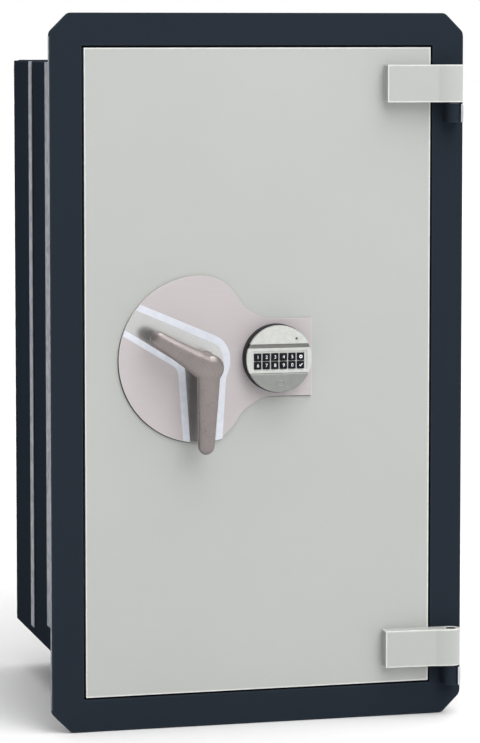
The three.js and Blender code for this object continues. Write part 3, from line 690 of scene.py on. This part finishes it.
def make_screw(name, place, body):
    """A button-head screw with a hexagon socket, whose head faces the back."""
    radius = SCREW_RADIUS
    count = 24
    hexagon = []
    for i in range(count):
        angle = TURN * i / count
        within = (angle % (TURN / 6)) - TURN / 12
        hexagon.append((angle, 0.42 * radius * math.cos(TURN / 12) / math.cos(within)))
    rings = []
    for share, height in ((1.0, 0.0), (1.0, 0.12), (0.93, 0.32), (0.76, 0.48), (0.56, 0.55)):
        ring = circle(share * radius * MM, place.x, place.z, count)
        rings.append([(x, place.y + height * radius * MM, z) for x, z in ring])
    for height in (0.55, 0.16):
        rings.append([
            (
                place.x + reach * MM * math.cos(angle),
                place.y + height * radius * MM,
                place.z + reach * MM * math.sin(angle),
            )
            for angle, reach in hexagon
        ])
    screw = new_piece(name, loft(bmesh.new(), rings), body, "bright_steel")
    soften(screw, 0.12 * MM, 2)


def make_pin_hole_shade(place):
    """The dark cap that closes the pin's hole, just below the top of the hinge arm; its black is painted
    shade, standing in for the shade inside the open hole.
    """
    pin = centre("hinge_pin_" + place)
    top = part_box("hinge_arm_" + place)[1].z
    rings = []
    for radius, drop in ((5.6, 2.2), (6.2, 2.2), (6.2, 0.5), (5.9, 0.3), (3.0, 0.25), (0.5, 0.22)):
        rings.append([(x, y, top - drop * MM) for x, y in circle(radius * MM, pin.x, pin.y, 40)])
    new_piece("pin_hole_shade_" + place, loft(bmesh.new(), rings), "door", "black_plastic")


def make_lug_glint_strip(place):
    """A bright steel strip let into the lug's outer front edge, put there as a painted highlight: it
    stands in for the glint along the lug's rounded edge.
    """
    low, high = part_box("hinge_lug_" + place)
    width = 2.2 * MM
    back, front = low.y + 2.5 * MM, low.y - 0.3 * MM
    path = [
        (high.x - width, back),
        (high.x - width, front),
        (high.x + 0.2 * MM, front),
        (high.x + 1.0 * MM, low.y + 0.5 * MM),
        (high.x + 1.0 * MM, back),
    ]
    rings = [[(x, y, z) for x, y in path] for z in (low.z + 0.6 * MM, high.z - 0.6 * MM)]
    bm = loft(bmesh.new(), rings)
    soften(new_piece("lug_glint_strip_" + place, bm, "case", "bright_steel", smooth=False), 0.2 * MM, 2)


def make_flange_edge(side):
    """A galvanised strip along one side of the flange, between its cut corners: a zinc edge whose
    lightness also stands in for the light caught by the flange's side edge.
    """
    low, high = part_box("door_frame")
    x, out = (high.x, 1) if side == "right" else (low.x, -1)
    span = 26 * MM
    outline = [(x - out * 0.2 * MM, low.z + span), (x + out * 0.25 * MM, low.z + span)]
    outline += [(x + out * 0.25 * MM, high.z - span), (x - out * 0.2 * MM, high.z - span)]
    bm = slab(bmesh.new(), outline, low.y + 7.4 * MM, low.y + 0.7 * MM)
    soften(new_piece("flange_edge_" + side, bm, "case", "galvanised", smooth=False), 0.1 * MM, 2)


for side in ("left", "right"):
    make_flange_edge(side)
for place in ("lower", "upper"):
    make_pin_hole_shade(place)
    make_lug_glint_strip(place)

cover_low, cover_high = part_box("casing_cover")
SCREW_INSET = 9 * MM
SCREW_ROWS = 5
SCREW_PITCH = (cover_high.z - cover_low.z - 2 * SCREW_INSET) / (SCREW_ROWS - 1)
for column, x in enumerate((cover_low.x + SCREW_INSET, cover_high.x - SCREW_INSET)):
    for row in range(SCREW_ROWS):
        number = column * SCREW_ROWS + row + 1
        z = cover_low.z + SCREW_INSET + row * SCREW_PITCH
        make_screw(f"cover_screw_{number}", Vector((x, cover_high.y, z)), "door")


GUIDE_INNER = 10.45
GUIDE_OUTER = 14.0


def make_guide(name, bolt, axis, sign):
    """A bronze ring around a bolt where it leaves the casing. `axis` is 0 for x and 2 for z."""
    inner, outer = GUIDE_INNER, GUIDE_OUTER
    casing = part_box("bolt_casing")[1 if sign > 0 else 0][axis]
    middle = centre(bolt)
    rings = []
    for radius, out in ((inner, -1.0), (inner, 1.4), (outer - 0.5, 1.4), (outer, 0.9), (outer, -0.2)):
        ring = []
        for u, v in circle(radius * MM, count=48):
            point = Vector((u, v, 0)) if axis == 2 else Vector((0, u, v))
            point += middle
            point[axis] = casing + sign * out * MM
            ring.append(point)
        rings.append(ring)
    soften(new_piece(name, closed_ring(rings), "door", "bronze"), 0.2 * MM, 2)


for place in ("lower", "middle", "upper"):
    make_guide("guide_" + place, "side_bolt_" + place, 0, -1)
make_guide("guide_top", "top_bolt", 2, 1)
make_guide("guide_bottom", "bottom_bolt", 2, -1)

WELD_RADIUS = 0.9
WELD_STEP = 1.4
WELD_SETBACK = 4 * MM  # how far each bead stops short of the corners


def make_weld(name, start, end):
    """A bead with the ripples of a hand weld, from start to end."""
    start, end = Vector(start), Vector(end)
    along = end - start
    steps = max(2, round(along.length / (WELD_STEP * MM)))
    frame_axes = along.to_track_quat("Z", "Y").to_matrix()
    rings = []
    for step in range(steps + 1):
        ripple = 1.0 + 0.1 * math.cos(step * TURN / 2.6) + 0.05 * math.sin(step * 0.37)
        size = WELD_RADIUS * MM * ripple * min(1.0, 0.35 + 0.4 * min(step, steps - step))
        middle = start + along * (step / steps)
        rings.append([middle + frame_axes @ Vector((x, z, 0)) for x, z in circle(size, count=10)])
    new_piece(name, loft(bmesh.new(), rings), "case", "dark_paint")


rear_low, rear_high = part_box("rear_panel")
SEAM_Y = rear_low.y - 0.2 * MM
for side, x in (("left", rear_low.x), ("right", rear_high.x)):
    start, end = rear_low.z + WELD_SETBACK, rear_high.z - WELD_SETBACK
    make_weld("weld_rear_" + side, (x, SEAM_Y, start), (x, SEAM_Y, end))
for side, z in (("low", rear_low.z), ("high", rear_high.z)):
    start, end = rear_low.x + WELD_SETBACK, rear_high.x - WELD_SETBACK
    make_weld("weld_rear_" + side, (start, SEAM_Y, z), (end, SEAM_Y, z))


# ---- floor, light and camera ----


def make_floor():
    pale = Surface("pale_floor", Roughness=0.7)
    drift = pale.spread(pale.noise(3.0, 4.0), 0.0, 1.0)
    pale.colour(pale.mixed(drift, (0.66, 0.66, 0.66), (0.68, 0.68, 0.68)))
    pale.relief(pale.noise(160.0, 3.0), 0.0001)
    bm = bmesh.new()
    half = 40.0
    slab(bm, [(-half, -0.01), (half, -0.01), (half, 0.0), (-half, 0.0)], half, -half)
    mesh = bpy.data.meshes.new("floor")
    bmesh.ops.recalc_face_normals(bm, faces=bm.faces)
    bm.to_mesh(mesh)
    bm.free()
    mesh.materials.append(pale.material)
    floor = bpy.data.objects.new("floor", mesh)
    floor.location.z = FLANGE_LOW - 0.5 * MM
    bpy.context.scene.collection.objects.link(floor)


def aim(obj, place, target):
    obj.location = place
    obj.rotation_euler = (Vector(target) - Vector(place)).to_track_quat("-Z", "Y").to_euler()


def make_softbox(name, place, size, power, target=(0.0, -0.4, 0.0)):
    light = bpy.data.lights.new(name, "AREA")
    light.shape = "RECTANGLE"
    light.size, light.size_y = size
    light.energy = power
    lamp = bpy.data.objects.new(name, light)
    bpy.context.scene.collection.objects.link(lamp)
    aim(lamp, place, target)


# The sky's brightness against the sine of the height above the horizon, in front of the safe.
SKY = (
    (0.0, 0.78),
    (0.12, 0.78),
    (0.2, 0.3),
    (0.45, 0.3),
    (0.62, 0.8),
    (0.75, 1.6),
    (0.85, 3.2),
    (1.0, 3.2),
)
SKY_TOP = max(level for _, level in SKY)
SKY_BEHIND = 1.0  # the least brightness behind the safe, which is what the camera sees


def make_sky():
    """A white studio, lit from overhead, that is dimmer in front of the safe, most of all to its left."""
    world = bpy.data.worlds.new("studio")
    bpy.context.scene.world = world
    world.use_nodes = True
    tree = world.node_tree
    background = tree.nodes["Background"]
    place = tree.nodes.new("ShaderNodeTexCoord")
    split = tree.nodes.new("ShaderNodeSeparateXYZ")
    tree.links.new(place.outputs["Generated"], split.inputs["Vector"])
    ramp = tree.nodes.new("ShaderNodeValToRGB")
    stops = ramp.color_ramp.elements
    while len(stops) < len(SKY):
        stops.new(1.0)
    for stop, (height, level) in zip(stops, SKY):
        stop.position = height
        stop.color = (level / SKY_TOP, level / SKY_TOP, level / SKY_TOP, 1.0)
    tree.links.new(split.outputs["Z"], ramp.inputs["Fac"])

    def grade(axis, start, end, low, high):
        made = tree.nodes.new("ShaderNodeMapRange")
        tree.links.new(split.outputs[axis], made.inputs["Value"])
        for socket, number in zip(RANGE_SOCKETS, (start, end, low, high)):
            made.inputs[socket].default_value = number
        return made.outputs["Result"]

    def blend(kind, factor, a, b):
        made = tree.nodes.new("ShaderNodeMix")
        made.data_type = "RGBA"
        made.blend_type = kind
        for index, value in zip(MIX_SOCKETS.values(), (factor, a, b)):
            if isinstance(value, bpy.types.NodeSocket):
                tree.links.new(value, made.inputs[index])
            else:
                made.inputs[index].default_value = value
        return made.outputs[MIX_RESULT]

    aloft = grade("Z", 0.12, 0.2, 0.0, 1.0)
    front = blend("MULTIPLY", aloft, ramp.outputs["Color"], grade("X", -0.7, 0.1, 0.25, 1.0))
    back = (*[SKY_BEHIND / SKY_TOP] * 3, 1.0)
    whole = blend("LIGHTEN", grade("Y", 0.1, 0.5, 0.0, 1.0), front, back)
    tree.links.new(whole, background.inputs["Color"])
    background.inputs["Strength"].default_value = SKY_TOP


def make_sun(direction, strength, spread):
    light = bpy.data.lights.new("overhead", "SUN")
    light.energy = strength
    light.angle = math.radians(spread)
    lamp = bpy.data.objects.new("overhead", light)
    bpy.context.scene.collection.objects.link(lamp)
    aim(lamp, direction, (0, 0, 0))


CAMERA_PLACE = (-0.902, -3.808, 0.380)
CAMERA_PITCH = 85.45
CAMERA_TURN = -14.47
CAMERA_LENS = 153.16
CAMERA_SHIFT = -0.12


def make_camera():
    data = bpy.data.cameras.new("camera")
    data.sensor_width = 36.0
    data.lens = CAMERA_LENS
    data.shift_y = CAMERA_SHIFT
    data.clip_start = 0.1
    data.clip_end = 200.0
    camera = bpy.data.objects.new("camera", data)
    camera.location = CAMERA_PLACE
    camera.rotation_euler = (math.radians(CAMERA_PITCH), 0.0, math.radians(CAMERA_TURN))
    bpy.context.scene.collection.objects.link(camera)
    bpy.context.scene.camera = camera


make_floor()
make_sky()
make_sun((0.3, -1.0, 0.7), 1.58, 40)
make_softbox("overhead_box", (0.3, -1.15, 1.75), (1.4, 0.4), 12, (-0.07, -0.45, 0.02))
make_softbox("rim", (2.6, -0.9, 0.3), (0.6, 2.0), 3)
make_camera()
bpy.context.scene.view_settings.view_transform = "Standard"
